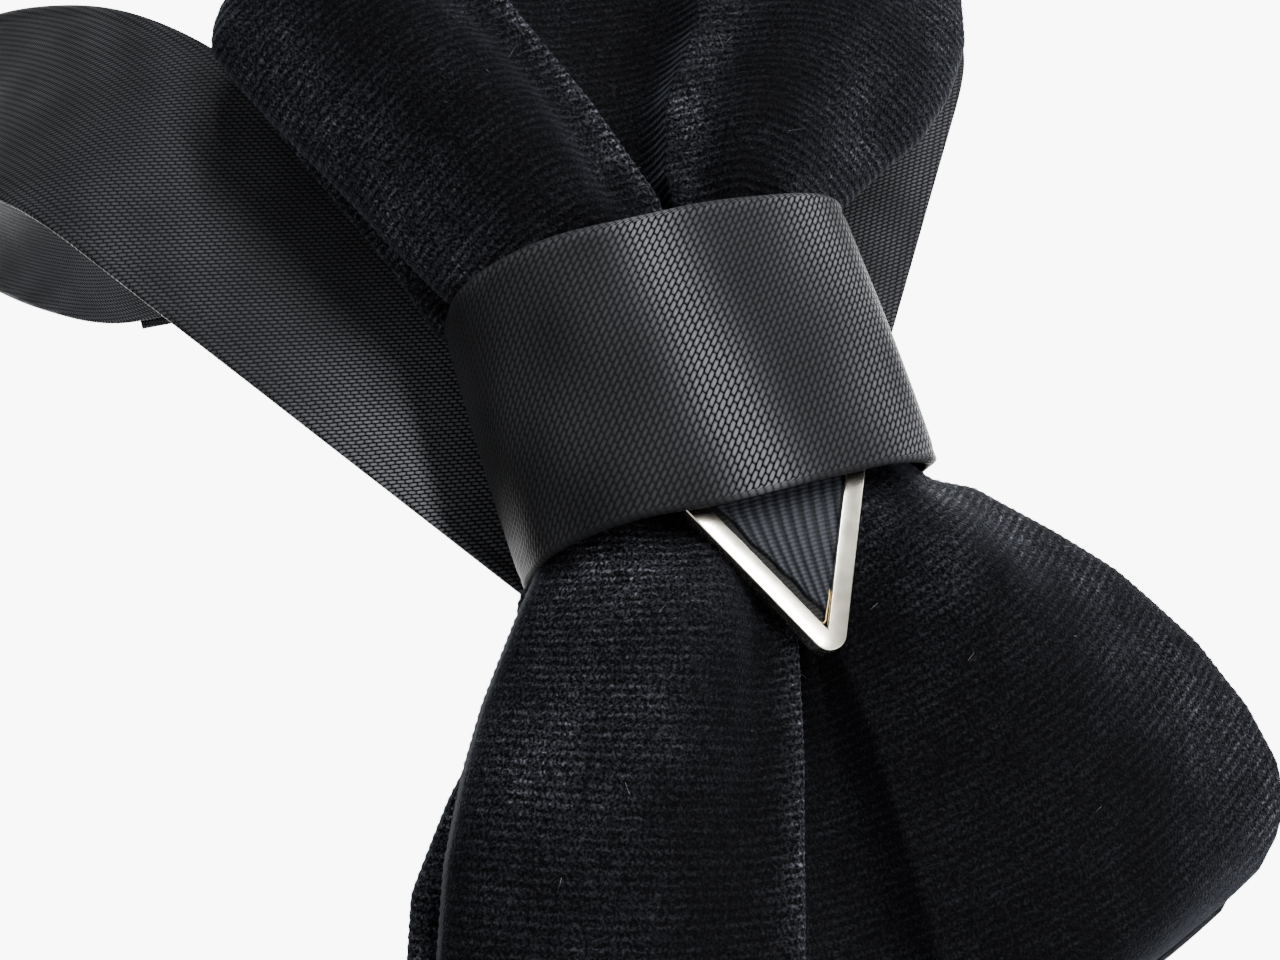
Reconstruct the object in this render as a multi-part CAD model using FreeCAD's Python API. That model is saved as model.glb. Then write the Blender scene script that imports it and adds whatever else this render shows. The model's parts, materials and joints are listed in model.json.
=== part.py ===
"""Pre-tied bow tie: two stacked velvet bows gathered by a satin knot, a pointed ribbon tail with a
metal tip under the knot, and a neck strap that leaves the back of the knot in a V.

Frame, in millimetres: +X to the right of someone facing the bow, +Y towards the wearer, +Z up.
The bow hangs with its long axis upright. The origin is the centre of the back patch's rear face,
which lies on the shirt front.
"""
import FreeCAD, Part
import math
import os

V = FreeCAD.Vector

# ---- gaps and fits ----
GAP = 0.3                   # between soft layers
PIVOT_CLEARANCE = 0.05      # radial, between a wire bar and the strap folded round it
CHANNEL_CLEARANCE = 0.04    # ribbon in the metal tip's channel
EDGE_CLEARANCE = 0.5        # strap edge to a buckle's side rail

# ---- bow ----
BOW_LENGTH = 117.0          # end to end of the front bow
BOW_WIDTH = 77.0            # widest part of a wing
BACK_BOW_MARGIN = 2.0       # how far the back bow shows past the front one, all round
WAIST_WIDTH = 28.0          # gathered width inside the knot
WAIST_CORNER = 4.0          # the binding's inner corner
FRONT_WAIST_DEPTH = 7.0
BACK_WAIST_DEPTH = 6.0
FRONT_WING_RISE = 7.5       # puff of the front bow's face above its interfacing
FLAT_WING_RISE = 2.5        # puff of every other ply
INTERFACING_THICKNESS = 0.8
INTERFACING_INSET = 4.0

# ---- knot ----
KNOT_WIDTH = 36.0
KNOT_HEIGHT = 24.0
KNOT_CORNER = 8.0
WRAP_THICKNESS = 1.0
LIP_ROUND = 0.4
PADDING_THICKNESS = 1.4
PADDING_INSET = 2.0
BINDING_THICKNESS = 0.8
BINDING_HEIGHT = 5.0

# ---- tail ----
TAIL_WIDTH = 17.6           # across the metal tip where it goes under the knot
TAIL_DROP = 15.6            # from the knot's lower lip to the point
TAIL_SHIFT = 1.0              # the tail hangs a little to the right of the middle
TAIL_TUCK = 1.5             # height of the hinge line above the lip
RIBBON_THICKNESS = 0.5
RIBBON_BACKING = 0.4
TIP_PLATE = 0.5             # thickness of the tip's front and back lips
TIP_WALL = 0.5
TIP_BAND = 1.6              # visible width of the frame
TIP_BACK_BAND = 2.6
TIP_ROUND = 1.5
LIFT_ROOM = 0.95            # lets the tail swing out from under the lip
TAIL_REST_GAP = 0.5         # tail to the velvet behind it
HINGE_SPLIT = 0.4
ROOT_LENGTH = 18.0

# ---- neck strap ----
STRAP_WIDTH = 24.0          # at the front
NAPE_WIDTH = 20.0           # at the clasp
STRAP_THICKNESS = 1.2
STRAP_SLOPE = 36.0          # degrees between each half and the bow's long axis
STRAP_CROSSING = -12.0      # height at which the two centre lines cross
STRAP_TUCK = 13.0           # stitched end below the crossing
STRAP_FLAT_RUN = 60.0       # flat stretch on the shirt front, from the crossing
NECK_HALF_WIDTH = 56.0
NECK_DEPTH = 104.0
NAPE_HEIGHT = 80.0
PATCH_THICKNESS = 1.0
PATCH_WIDTH = 30.0
PATCH_HEIGHT = 36.0
STITCH_RADIUS = 0.3

# ---- clasp and adjuster at the nape ----
BAR_RADIUS = 0.9
PLATE = 1.6                 # thickness of the clasp's rails
RAIL = 1.8                  # height of the clasp's rails
CLASP_CENTRE = -9.0         # x of the tongue
HOOK_REACH = 12.5           # strap bar to tongue
EYE_REACH = 11.5            # strap bar to tongue
TONGUE = 1.2
TONGUE_HEIGHT = 7.0
TONGUE_PLAY = 0.5
ARM_LIFT = 1.0              # hook arm over the eye's end bar
LEFT_RETURN = 11.0
RIGHT_RETURN = 30.0
HEM = 3.0
SLIDER_LENGTH = 7.0
SLIDER_WALL = 1.0
SLIDER_OFFSET = 6.0         # from the eye's bar to the slider, as stored
SLIDER_BAR = 0.9

# ---- levels from the shirt forwards (y falls towards the viewer) ----
RIGHT_STRAP_Y = -(PATCH_THICKNESS + GAP + STRAP_THICKNESS / 2)
LEFT_STRAP_Y = RIGHT_STRAP_Y - STRAP_THICKNESS - GAP
WRAP_BACK = LEFT_STRAP_Y - STRAP_THICKNESS / 2 - GAP
BOWS_BACK = WRAP_BACK - WRAP_THICKNESS - GAP - BINDING_THICKNESS - GAP
BOWS_SPLIT = BOWS_BACK - BACK_WAIST_DEPTH
BOWS_FRONT = BOWS_SPLIT - GAP - FRONT_WAIST_DEPTH
PADDING_BACK = BOWS_FRONT - GAP - BINDING_THICKNESS - GAP
TIP_BACK = PADDING_BACK - PADDING_THICKNESS - TAIL_REST_GAP
RIBBON_BACK = TIP_BACK - TIP_PLATE
RIBBON_FRONT = RIBBON_BACK - RIBBON_BACKING - RIBBON_THICKNESS
TIP_FRONT = RIBBON_FRONT - TIP_PLATE
WRAP_FRONT = TIP_FRONT - LIFT_ROOM - WRAP_THICKNESS
BACK_BOW_PLANE = BOWS_BACK - BACK_WAIST_DEPTH / 2
FRONT_BOW_PLANE = BOWS_SPLIT - GAP - FRONT_WAIST_DEPTH / 2

LIP_Z = -KNOT_HEIGHT / 2
HINGE_Z = LIP_Z + TAIL_TUCK
TIP_Z = LIP_Z - TAIL_DROP

LOOP_INNER = BAR_RADIUS + PIVOT_CLEARANCE
CLASP_Y = NECK_DEPTH + STRAP_THICKNESS / 2 + LOOP_INNER
HOOK_BAR_X = CLASP_CENTRE - HOOK_REACH
EYE_BAR_X = CLASP_CENTRE + EYE_REACH
RAIL_Z = NAPE_WIDTH / 2 + EDGE_CLEARANCE


# ---- helpers ----
def block(x0, x1, y0, y1, z0, z1):
    return Part.makeBox(x1 - x0, y1 - y0, z1 - z0, V(x0, y0, z0))


def prism(outline, y0, y1):
    """Extrudes an outline of (x, z) points from y0 to y1."""
    points = [V(x, y0, z) for x, z in outline]
    face = Part.Face(Part.makePolygon(points + points[:1]))
    return face.extrude(V(0, y1 - y0, 0))


def upright_tube_section(half_width, y0, y1, z0, z1, corner):
    """A solid with a rounded-rectangle plan, standing along Z."""
    solid = block(-half_width, half_width, y0, y1, z0, z1)
    edges = [e for e in solid.Edges if abs(e.tangentAt(e.FirstParameter).z) > 0.9]
    return solid.makeFillet(corner, edges)


def upright_bar(radius, x, y, z0, z1):
    return Part.makeCylinder(radius, z1 - z0, V(x, y, z0), V(0, 0, 1))


def union(first, *others):
    return first.fuse(list(others)).removeSplitter()


# ---- bows ----
def wing_stations(half_length, half_width):
    """Stations (height, half width, share of the full puff) from the waist to one end of a bow."""
    waist = WAIST_WIDTH / 2
    neck = KNOT_HEIGHT / 2
    spread = half_width - waist
    reach = half_length - neck
    return [
        (0.0, waist, 0.0),
        (neck * 0.6, waist, 0.0),
        (neck, waist + spread * 0.04, 0.02),
        (neck + reach * 0.15, waist + spread * 0.45, 0.16),
        (neck + reach * 0.33, waist + spread * 0.68, 0.55),
        (neck + reach * 0.55, waist + spread * 0.94, 0.95),
        (neck + reach * 0.75, half_width, 0.80),
        (neck + reach * 0.90, half_width - spread * 0.06, 0.30),
        (neck + reach * 0.97, half_width - spread * 0.25, 0.05),
        (half_length, half_width - spread * 0.55, -0.10),
    ]


def bow_ply(half_length, half_width, plane, waist_rise, wing_rise, side):
    """One gathered ply of velvet: flat against its interfacing, crowned on the other side.
    side is -1 for a ply that crowns towards the viewer and +1 towards the wearer."""
    start = plane + side * INTERFACING_THICKNESS / 2
    least = waist_rise - INTERFACING_THICKNESS / 2
    upper = wing_stations(half_length, half_width)
    stations = [(-z, w, s) for z, w, s in reversed(upper[1:])] + upper
    wires = []
    for z, width, share in stations:
        rise = least + (wing_rise - least) * share
        if share < 0:
            rise = least * (1 + share * 5)
        left, top, right = V(-width, start, z), V(0, start + side * rise, z), V(width, start, z)
        shoulder = 0.72
        bulge = rise * 0.80
        crown = Part.BSplineCurve()
        crown.interpolate([left, V(-width * shoulder, start + side * bulge, z), top,
                           V(width * shoulder, start + side * bulge, z), right])
        wires.append(Part.Wire([crown.toShape(), Part.makeLine(right, left)]))
    return Part.makeLoft(wires, True, False)


def interfacing(half_length, half_width, plane):
    """The stiff sheet between two plies, cut smaller all round."""
    upper = wing_stations(half_length - INTERFACING_INSET, half_width - INTERFACING_INSET)
    waist_inset = 2.0
    right = [(w - (waist_inset if z < KNOT_HEIGHT / 2 else 0), z) for z, w, _ in upper]
    right = [(w, -z) for w, z in reversed(right[1:])] + right
    outline = right + [(-w, z) for w, z in reversed(right)]
    half = INTERFACING_THICKNESS / 2
    return prism(outline, plane - half, plane + half)


def front_bow():
    length, width, plane = BOW_LENGTH / 2, BOW_WIDTH / 2, FRONT_BOW_PLANE
    rise = FRONT_WAIST_DEPTH / 2
    return {
        "front_bow_face": bow_ply(length, width, plane, rise, FRONT_WING_RISE, -1),
        "front_bow_interfacing": interfacing(length, width, plane),
        "front_bow_back_ply": bow_ply(length, width, plane, rise, FLAT_WING_RISE, 1),
    }


def back_bow():
    length = BOW_LENGTH / 2 + BACK_BOW_MARGIN
    width = BOW_WIDTH / 2 + BACK_BOW_MARGIN
    plane = BACK_BOW_PLANE
    rise = BACK_WAIST_DEPTH / 2
    return {
        "back_bow_face": bow_ply(length, width, plane, rise, FLAT_WING_RISE, -1),
        "back_bow_interfacing": interfacing(length, width, plane),
        "back_bow_back_ply": bow_ply(length, width, plane, rise, FLAT_WING_RISE, 1),
    }


def waist_binding():
    """Thread wound round both gathered waists, as one flat band."""
    half = WAIST_WIDTH / 2 + GAP
    z = BINDING_HEIGHT / 2
    back, front = BOWS_BACK + GAP, BOWS_FRONT - GAP
    t = BINDING_THICKNESS
    outer = upright_tube_section(half + t, front - t, back + t, -z, z, WAIST_CORNER + t)
    inner = upright_tube_section(half, front, back, -z - 1, z + 1, WAIST_CORNER)
    return outer.cut(inner)


# ---- knot ----
def knot_wrap():
    """The folded satin band round both waists, with rolled lips."""
    half, z, t = KNOT_WIDTH / 2, KNOT_HEIGHT / 2, WRAP_THICKNESS
    outer = upright_tube_section(half, WRAP_FRONT, WRAP_BACK, -z, z, KNOT_CORNER)
    outer = outer.makeFillet(LIP_ROUND, [e for e in outer.Edges if abs(abs(e.CenterOfMass.z) - z) < 1e-6])
    inner = upright_tube_section(half - t, WRAP_FRONT + t, WRAP_BACK - t, -z - 1, z + 1, KNOT_CORNER - t)
    return outer.cut(inner)


def knot_padding():
    """A wad that keeps the front of the knot full, behind the tail's root."""
    half = KNOT_WIDTH / 2 - WRAP_THICKNESS - KNOT_CORNER * 0.5
    z = KNOT_HEIGHT / 2 - PADDING_INSET
    pad = block(-half, half, PADDING_BACK - PADDING_THICKNESS, PADDING_BACK, -z, z)
    return pad.makeFillet(PADDING_THICKNESS * 0.4, pad.Edges)


# ---- tail ----
def tail_outline(inset, top):
    """The pointed end, inset square to its slanting sides, from the point up to a height of top."""
    half = TAIL_WIDTH / 2
    slope = math.atan2(half, HINGE_Z - TIP_Z)
    point = TIP_Z + inset / math.sin(slope)
    reach = (top - point) * math.tan(slope)
    return [(TAIL_SHIFT, point), (TAIL_SHIFT + reach, top), (TAIL_SHIFT - reach, top)]


def round_point(solid, radius):
    """Rounds the upright edge at the point of the tail."""
    lowest = min(e.CenterOfMass.z for e in solid.Edges)
    return solid.makeFillet(radius, [e for e in solid.Edges if e.CenterOfMass.z < lowest + 1e-6
                                     and abs(e.tangentAt(e.FirstParameter).y) > 0.9])


def tail_ribbon_part(y0, y1):
    inset = TIP_WALL + CHANNEL_CLEARANCE
    flap = prism(tail_outline(inset, HINGE_Z - HINGE_SPLIT / 2), y0, y1)
    return round_point(flap, TIP_ROUND - TIP_WALL)


def tail_tip():
    """A pressed metal frame: front lip, side wall and back lip, open at the top for the ribbon."""
    top = HINGE_Z - HINGE_SPLIT / 2
    outer = round_point(prism(tail_outline(0, top), TIP_FRONT, TIP_BACK), TIP_ROUND)
    pocket = round_point(prism(tail_outline(TIP_WALL, top + 1), RIBBON_FRONT - CHANNEL_CLEARANCE,
                               RIBBON_BACK + CHANNEL_CLEARANCE), TIP_ROUND - TIP_WALL)
    front_window = prism(tail_outline(TIP_BAND, top + 1), TIP_FRONT - 1, RIBBON_FRONT)
    back_window = prism(tail_outline(TIP_BACK_BAND, top + 1), RIBBON_BACK, TIP_BACK + 1)
    return outer.cut([pocket, front_window, back_window])


def tail():
    middle = RIBBON_BACK - RIBBON_BACKING
    half = TAIL_WIDTH / 2 - TIP_WALL
    root_bottom = HINGE_Z + HINGE_SPLIT / 2
    return {
        "tail_ribbon": tail_ribbon_part(RIBBON_FRONT, middle),
        "tail_ribbon_backing": tail_ribbon_part(middle, RIBBON_BACK),
        "tail_tip": tail_tip(),
        "tail_ribbon_root": block(TAIL_SHIFT - half, TAIL_SHIFT + half, RIBBON_FRONT, RIBBON_BACK,
                                  root_bottom, root_bottom + ROOT_LENGTH),
    }


# ---- neck strap ----
def strap_direction(side):
    slope = math.radians(STRAP_SLOPE)
    return V(side * math.sin(slope), 0, math.cos(slope))


def strap_curve(side, start, nape_x):
    """The centre line from the flat front run round the neck to the straight run at the nape."""
    points = [
        start,
        V(side * NECK_HALF_WIDTH * 0.87, NECK_DEPTH * 0.14, NAPE_HEIGHT * 0.71),
        V(side * NECK_HALF_WIDTH, NECK_DEPTH * 0.42, NAPE_HEIGHT * 0.88),
        V(side * NECK_HALF_WIDTH * 0.95, NECK_DEPTH * 0.70, NAPE_HEIGHT * 0.97),
        V(nape_x + side * (NECK_HALF_WIDTH * 0.88 - abs(nape_x)) * 0.72, NECK_DEPTH * 0.915, NAPE_HEIGHT),
        V(nape_x, NECK_DEPTH, NAPE_HEIGHT),
    ]
    curve = Part.BSplineCurve()
    curve.interpolate(Points=points, InitialTangent=strap_direction(side), FinalTangent=V(-side, 0, 0))
    return curve


def strap_section(centre, along, across, width):
    """A thin rectangle square to the strap."""
    along = V(along).normalize()
    across = (across - along * across.dot(along)).normalize()
    through = along.cross(across)
    w, t = across * (width / 2), through * (STRAP_THICKNESS / 2)
    corners = [centre + w + t, centre + w - t, centre - w - t, centre - w + t]
    return Part.makePolygon(corners + corners[:1])


def strap_body(side, y, nape_x):
    """The flat front run and the twisted run round the neck, up to the nape."""
    along = strap_direction(side)
    across = V(along.z * side, 0, -along.x * side)
    crossing = V(0, y, STRAP_CROSSING)
    start = crossing + along * STRAP_FLAT_RUN
    flat = Part.Face(strap_section(crossing - along * STRAP_TUCK, along, across, STRAP_WIDTH))
    flat = flat.extrude(along * (STRAP_FLAT_RUN + STRAP_TUCK))
    curve = strap_curve(side, start, nape_x)
    stations = 12
    wires = []
    for i in range(stations + 1):
        share = i / stations
        u = curve.FirstParameter + (curve.LastParameter - curve.FirstParameter) * share
        turned = across * (1 - share) ** 1.5 + V(0, 0, -1) * (1 - (1 - share) ** 1.5)
        width = STRAP_WIDTH + (NAPE_WIDTH - STRAP_WIDTH) * share
        wires.append(strap_section(curve.value(u), curve.tangent(u)[0], turned, width))
    return flat, Part.makeLoft(wires, True, False)


def strap_loop(side, bar_x, nape_x, return_length):
    """The straight run at the nape, folded round a clasp bar and laid back on itself."""
    z0, z1 = NAPE_HEIGHT - NAPE_WIDTH / 2, NAPE_HEIGHT + NAPE_WIDTH / 2
    outer = LOOP_INNER + STRAP_THICKNESS
    near = sorted([bar_x, nape_x])
    far = sorted([bar_x, bar_x + side * return_length])
    inner_ply = block(near[0], near[1], CLASP_Y - outer, CLASP_Y - LOOP_INNER, z0, z1)
    outer_ply = block(far[0], far[1], CLASP_Y + LOOP_INNER, CLASP_Y + outer, z0, z1)
    fold = upright_bar(outer, bar_x, CLASP_Y, z0, z1).cut(upright_bar(LOOP_INNER, bar_x, CLASP_Y, z0, z1))
    keep = sorted([bar_x, bar_x - side * (outer + 1)])
    fold = fold.common(block(keep[0], keep[1], CLASP_Y - outer - 1, CLASP_Y + outer + 1, z0, z1))
    return inner_ply, fold, outer_ply


def neck_strap_left():
    nape_x = HOOK_BAR_X - LEFT_RETURN
    flat, round_neck = strap_body(-1, LEFT_STRAP_Y, nape_x)
    return union(flat, round_neck, *strap_loop(-1, HOOK_BAR_X, nape_x, LEFT_RETURN))


def neck_strap_right():
    """Ends in a doubled hem on its outer ply, which stops the slider."""
    nape_x = EYE_BAR_X + RIGHT_RETURN
    flat, round_neck = strap_body(1, RIGHT_STRAP_Y, nape_x)
    outer = CLASP_Y + LOOP_INNER + STRAP_THICKNESS
    hem = block(nape_x - HEM, nape_x, outer, outer + STRAP_THICKNESS,
                NAPE_HEIGHT - NAPE_WIDTH / 2, NAPE_HEIGHT + NAPE_WIDTH / 2)
    return union(flat, round_neck, *strap_loop(1, EYE_BAR_X, nape_x, RIGHT_RETURN), hem)


def strap_bartack():
    """A row of short stitches that closes the left strap's fold."""
    x = HOOK_BAR_X - LEFT_RETURN + 2.5
    outer = LOOP_INNER + STRAP_THICKNESS
    count = 5
    pitch = (NAPE_WIDTH - 4.0) / (count - 1)
    tacks = [Part.makeCylinder(STITCH_RADIUS, 2 * outer - 0.2,
                               V(x, CLASP_Y - outer + 0.1, NAPE_HEIGHT + (i - (count - 1) / 2) * pitch),
                               V(0, 1, 0)) for i in range(count)]
    return Part.makeCompound(tacks)


def back_patch():
    """A satin keeper over the stitched ends of the strap."""
    half, z = PATCH_WIDTH / 2, PATCH_HEIGHT / 2
    patch = block(-half, half, -PATCH_THICKNESS, 0, -z, z)
    return patch.makeFillet(2.0, [e for e in patch.Edges if abs(e.tangentAt(e.FirstParameter).y) > 0.9])


def patch_stitches():
    """Tacks through the patch and both strap ends."""
    depth = -LEFT_STRAP_Y + STRAP_THICKNESS / 2
    inset = 0.1
    across, down = 5.0, 5.0
    tacks = [Part.makeCylinder(STITCH_RADIUS, depth - 2 * inset,
                               V(x, -depth + inset, STRAP_CROSSING + z), V(0, 1, 0))
             for x in (-across, 0, across) for z in (-down / 2, down / 2)]
    return Part.makeCompound(tacks)


# ---- clasp and adjuster ----
def clasp_frame(bar_x, side, reach):
    """A strap bar, two side rails and an end bar. side is the way the frame reaches from its strap bar."""
    z0, z1 = NAPE_HEIGHT - RAIL_Z, NAPE_HEIGHT + RAIL_Z
    ends = sorted([bar_x, bar_x + side * reach])
    y0, y1 = CLASP_Y - PLATE / 2, CLASP_Y + PLATE / 2
    rails = [block(ends[0] - (BAR_RADIUS if side > 0 else 0), ends[1] + (BAR_RADIUS if side < 0 else 0),
                   y0, y1, a, b) for a, b in ((z0 - RAIL, z0), (z1, z1 + RAIL))]
    bar = upright_bar(BAR_RADIUS, bar_x, CLASP_Y, z0 - 0.5, z1 + 0.5)
    far = bar_x + side * reach
    end = sorted([far, far - side * RAIL])
    end_bar = block(end[0], end[1], y0, y1, z0 - 0.5, z1 + 0.5)
    return union(bar, end_bar, *rails)


def clasp_eye():
    """The ring that the hook's tongue drops into."""
    return clasp_frame(EYE_BAR_X, -1, EYE_REACH + TONGUE_PLAY + RAIL)


def clasp_hook():
    """A ring on the strap with an arm over the eye's end bar and a tongue down through its window."""
    ring_reach = HOOK_REACH - TONGUE_PLAY - RAIL - 1.5
    ring = clasp_frame(HOOK_BAR_X, 1, ring_reach)
    half = TONGUE_HEIGHT / 2
    arm_low = CLASP_Y + PLATE / 2 + ARM_LIFT
    arm_high = arm_low + TONGUE
    foot = HOOK_BAR_X + ring_reach - RAIL
    end = CLASP_CENTRE + TONGUE
    riser = block(foot, foot + RAIL, CLASP_Y - PLATE / 2, arm_high,
                  NAPE_HEIGHT - half - 1, NAPE_HEIGHT + half + 1)
    arm = block(foot, end, arm_low, arm_high, NAPE_HEIGHT - half, NAPE_HEIGHT + half)
    tongue = block(CLASP_CENTRE, end, CLASP_Y - PLATE / 2 - 0.4, arm_high,
                   NAPE_HEIGHT - half, NAPE_HEIGHT + half)
    return union(ring, riser, arm, tongue)


def adjuster_slider():
    """A three-bar slide round both plies, with its centre bar between them."""
    x0 = EYE_BAR_X + SLIDER_OFFSET
    x1 = x0 + SLIDER_LENGTH
    ply_out = LOOP_INNER + STRAP_THICKNESS + GAP
    z0, z1 = NAPE_HEIGHT - RAIL_Z, NAPE_HEIGHT + RAIL_Z
    body = block(x0, x1, CLASP_Y - ply_out - SLIDER_WALL, CLASP_Y + ply_out + SLIDER_WALL,
                 z0 - SLIDER_WALL, z1 + SLIDER_WALL)
    body = body.makeFillet(SLIDER_WALL * 0.45, body.Edges)
    half_bar = SLIDER_BAR / 2
    slots = [block(x0 - 1, x1 + 1, y0, y1, z0, z1)
             for y0, y1 in ((CLASP_Y - ply_out, CLASP_Y - half_bar), (CLASP_Y + half_bar, CLASP_Y + ply_out))]
    return body.cut(slots)


def main():
    parts = {
        **front_bow(),
        **back_bow(),
        "waist_binding": waist_binding(),
        "knot_wrap": knot_wrap(),
        "knot_padding": knot_padding(),
        **tail(),
        "neck_strap_left": neck_strap_left(),
        "neck_strap_right": neck_strap_right(),
        "strap_bartack": strap_bartack(),
        "back_patch": back_patch(),
        "patch_stitches": patch_stitches(),
        "clasp_eye": clasp_eye(),
        "clasp_hook": clasp_hook(),
        "adjuster_slider": adjuster_slider(),
    }
    os.makedirs("parts", exist_ok=True)
    for name, shape in parts.items():
        if not shape.isValid() or not shape.Solids:
            raise RuntimeError("bad solid in " + name)
        shape.exportStep("parts/" + name + ".step")
        print(name, len(shape.Solids), round(shape.Volume, 1))


main()
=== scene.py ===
"""Velvet bow tie with a satin knot, a metal-tipped ribbon tail and a neck strap, dressed on its frame."""

import bpy
import json
import math
import numpy as np
from mathutils import Matrix, Vector


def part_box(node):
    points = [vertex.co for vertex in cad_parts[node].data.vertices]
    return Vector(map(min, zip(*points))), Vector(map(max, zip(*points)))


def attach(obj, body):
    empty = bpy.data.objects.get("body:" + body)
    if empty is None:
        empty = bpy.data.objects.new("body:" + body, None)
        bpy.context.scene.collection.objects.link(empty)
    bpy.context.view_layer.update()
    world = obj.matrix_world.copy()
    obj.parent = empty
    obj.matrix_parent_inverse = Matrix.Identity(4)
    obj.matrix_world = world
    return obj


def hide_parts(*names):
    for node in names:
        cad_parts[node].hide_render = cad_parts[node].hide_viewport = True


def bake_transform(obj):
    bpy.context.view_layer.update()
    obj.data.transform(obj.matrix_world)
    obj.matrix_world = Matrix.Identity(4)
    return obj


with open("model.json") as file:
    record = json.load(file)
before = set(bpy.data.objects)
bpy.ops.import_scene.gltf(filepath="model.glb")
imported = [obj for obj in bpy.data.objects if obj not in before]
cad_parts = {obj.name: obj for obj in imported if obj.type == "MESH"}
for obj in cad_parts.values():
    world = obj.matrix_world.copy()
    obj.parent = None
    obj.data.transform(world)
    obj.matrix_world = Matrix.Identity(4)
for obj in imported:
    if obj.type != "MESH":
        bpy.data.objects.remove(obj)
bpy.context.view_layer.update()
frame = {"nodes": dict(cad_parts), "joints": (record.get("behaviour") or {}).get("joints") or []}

MM = 0.001


# ---------------------------------------------------------------- sizes, in millimetres
def box_mm(node):
    low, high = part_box(node)
    return np.array(low) / MM, np.array(high) / MM


KNOT_LOW, KNOT_HIGH = box_mm("knot_wrap")
FACE_HIGH = box_mm("front_bow_face")[1]
TIP_LOW, TIP_HIGH = box_mm("tail_tip")
RIBBON_LOW, RIBBON_HIGH = box_mm("tail_ribbon")
ROOT_HIGH = box_mm("tail_ribbon_root")[1]
PATCH_LOW, PATCH_HIGH = box_mm("back_patch")
FRONT_PLANE = sum(box_mm("front_bow_interfacing")[i][1] for i in (0, 1)) / 2
BACK_PLANE = sum(box_mm("back_bow_interfacing")[i][1] for i in (0, 1)) / 2
HINGE = {j["name"]: np.array(j["pos_m"]) / MM for j in frame["joints"] if "pos_m" in j}

RIB_PITCH = 0.74            # velvet's pile rows
RIB_HEIGHT = 0.036
ROWS_PER_RIB = 4
STRAP_THICKNESS = 1.2


# ---------------------------------------------------------------- modelling helpers
def deselect():
    bpy.ops.object.select_all(action="DESELECT")


def activate(piece):
    deselect()
    piece.select_set(True)
    bpy.context.view_layer.objects.active = piece


def smooth(x):
    x = np.clip(x, 0.0, 1.0)
    return x * x * (3 - 2 * x)


def waves(u, v, seed, count=5, low=0.5, high=2.5):
    """A smooth wandering field in -1..1 from a few sine waves."""
    draw = np.random.default_rng(seed)
    total = np.zeros(np.broadcast(u, v).shape)
    for _ in range(count):
        fu, fv = draw.uniform(low, high, 2) * draw.choice([-1, 1], 2)
        total = total + np.sin(2 * math.pi * (fu * u + fv * v) + draw.uniform(0, 6.28))
    return total / count


def new_grid(name, columns, rows):
    """A grid primitive with its vertices' (column, row) shares and the order that sorts them."""
    deselect()
    bpy.ops.mesh.primitive_grid_add(x_subdivisions=columns, y_subdivisions=rows, size=2)
    piece = bpy.context.object
    piece.name = name
    piece.data.name = name
    co = np.empty(len(piece.data.vertices) * 3)
    piece.data.vertices.foreach_get("co", co)
    co = co.reshape(-1, 3)
    order = np.lexsort((np.round(co[:, 0], 6), np.round(co[:, 1], 6)))
    across = np.unique(np.round(co[:, 0], 6)).size
    u = ((co[order, 0] + 1) / 2).reshape(-1, across)
    v = ((co[order, 1] + 1) / 2).reshape(-1, across)
    return piece, u, v, order


def paint(piece, order, name, values):
    """Keeps one number per vertex, for the material to read."""
    flat = np.empty(len(order), dtype=np.float32)
    flat[order] = values.ravel()
    layer = piece.data.attributes.get(name) or piece.data.attributes.new(name, "FLOAT", "POINT")
    layer.data.foreach_set("value", flat)


def place(piece, order, points, uv=None):
    """Puts the grid's points at their places, given in millimetres, and lays a UV map in millimetres."""
    flat = np.empty((len(order), 3))
    flat[order] = points.reshape(-1, 3) * MM
    piece.data.vertices.foreach_set("co", flat.ravel())
    if uv is not None:
        per_vertex = np.empty((len(order), 2))
        per_vertex[order] = uv.reshape(-1, 2)
        loops = np.empty(len(piece.data.loops), dtype=int)
        piece.data.loops.foreach_get("vertex_index", loops)
        layer = piece.data.uv_layers.active or piece.data.uv_layers.new(name="cloth")
        layer.data.foreach_set("uv", per_vertex[loops].ravel())
    piece.data.update()


def surface_normals(points, around=False):
    """Unit normals of a grid of points, from its rows and columns."""
    if around:
        wide = np.concatenate([points[:, -2:-1], points, points[:, 1:2]], axis=1)
        du = (wide[:, 2:] - wide[:, :-2])
    else:
        du = np.gradient(points, axis=1)
    dv = np.gradient(points, axis=0)
    n = np.cross(du, dv)
    return n / np.maximum(np.linalg.norm(n, axis=2, keepdims=True), 1e-9)


def close_up(piece, distance=0.004, fill=True):
    """Merges the seams, fills any open end and turns the faces outwards."""
    activate(piece)
    bpy.ops.object.mode_set(mode="EDIT")
    bpy.ops.mesh.select_all(action="SELECT")
    bpy.ops.mesh.remove_doubles(threshold=distance * MM)
    if fill:
        bpy.ops.mesh.select_all(action="DESELECT")
        bpy.ops.mesh.select_mode(type="EDGE")
        bpy.ops.mesh.select_non_manifold(extend=False)
        bpy.ops.mesh.fill_holes(sides=0)
    bpy.ops.mesh.select_mode(type="VERT")
    bpy.ops.mesh.select_all(action="SELECT")
    bpy.ops.mesh.normals_make_consistent(inside=False)
    bpy.ops.object.mode_set(mode="OBJECT")
    bpy.ops.object.shade_smooth()


def apply_modifiers(piece):
    activate(piece)
    for modifier in list(piece.modifiers):
        bpy.ops.object.modifier_apply(modifier=modifier.name)


def dress(piece, material, body):
    piece.data.materials.clear()
    piece.data.materials.append(material)
    if body:
        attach(piece, body)


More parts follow.
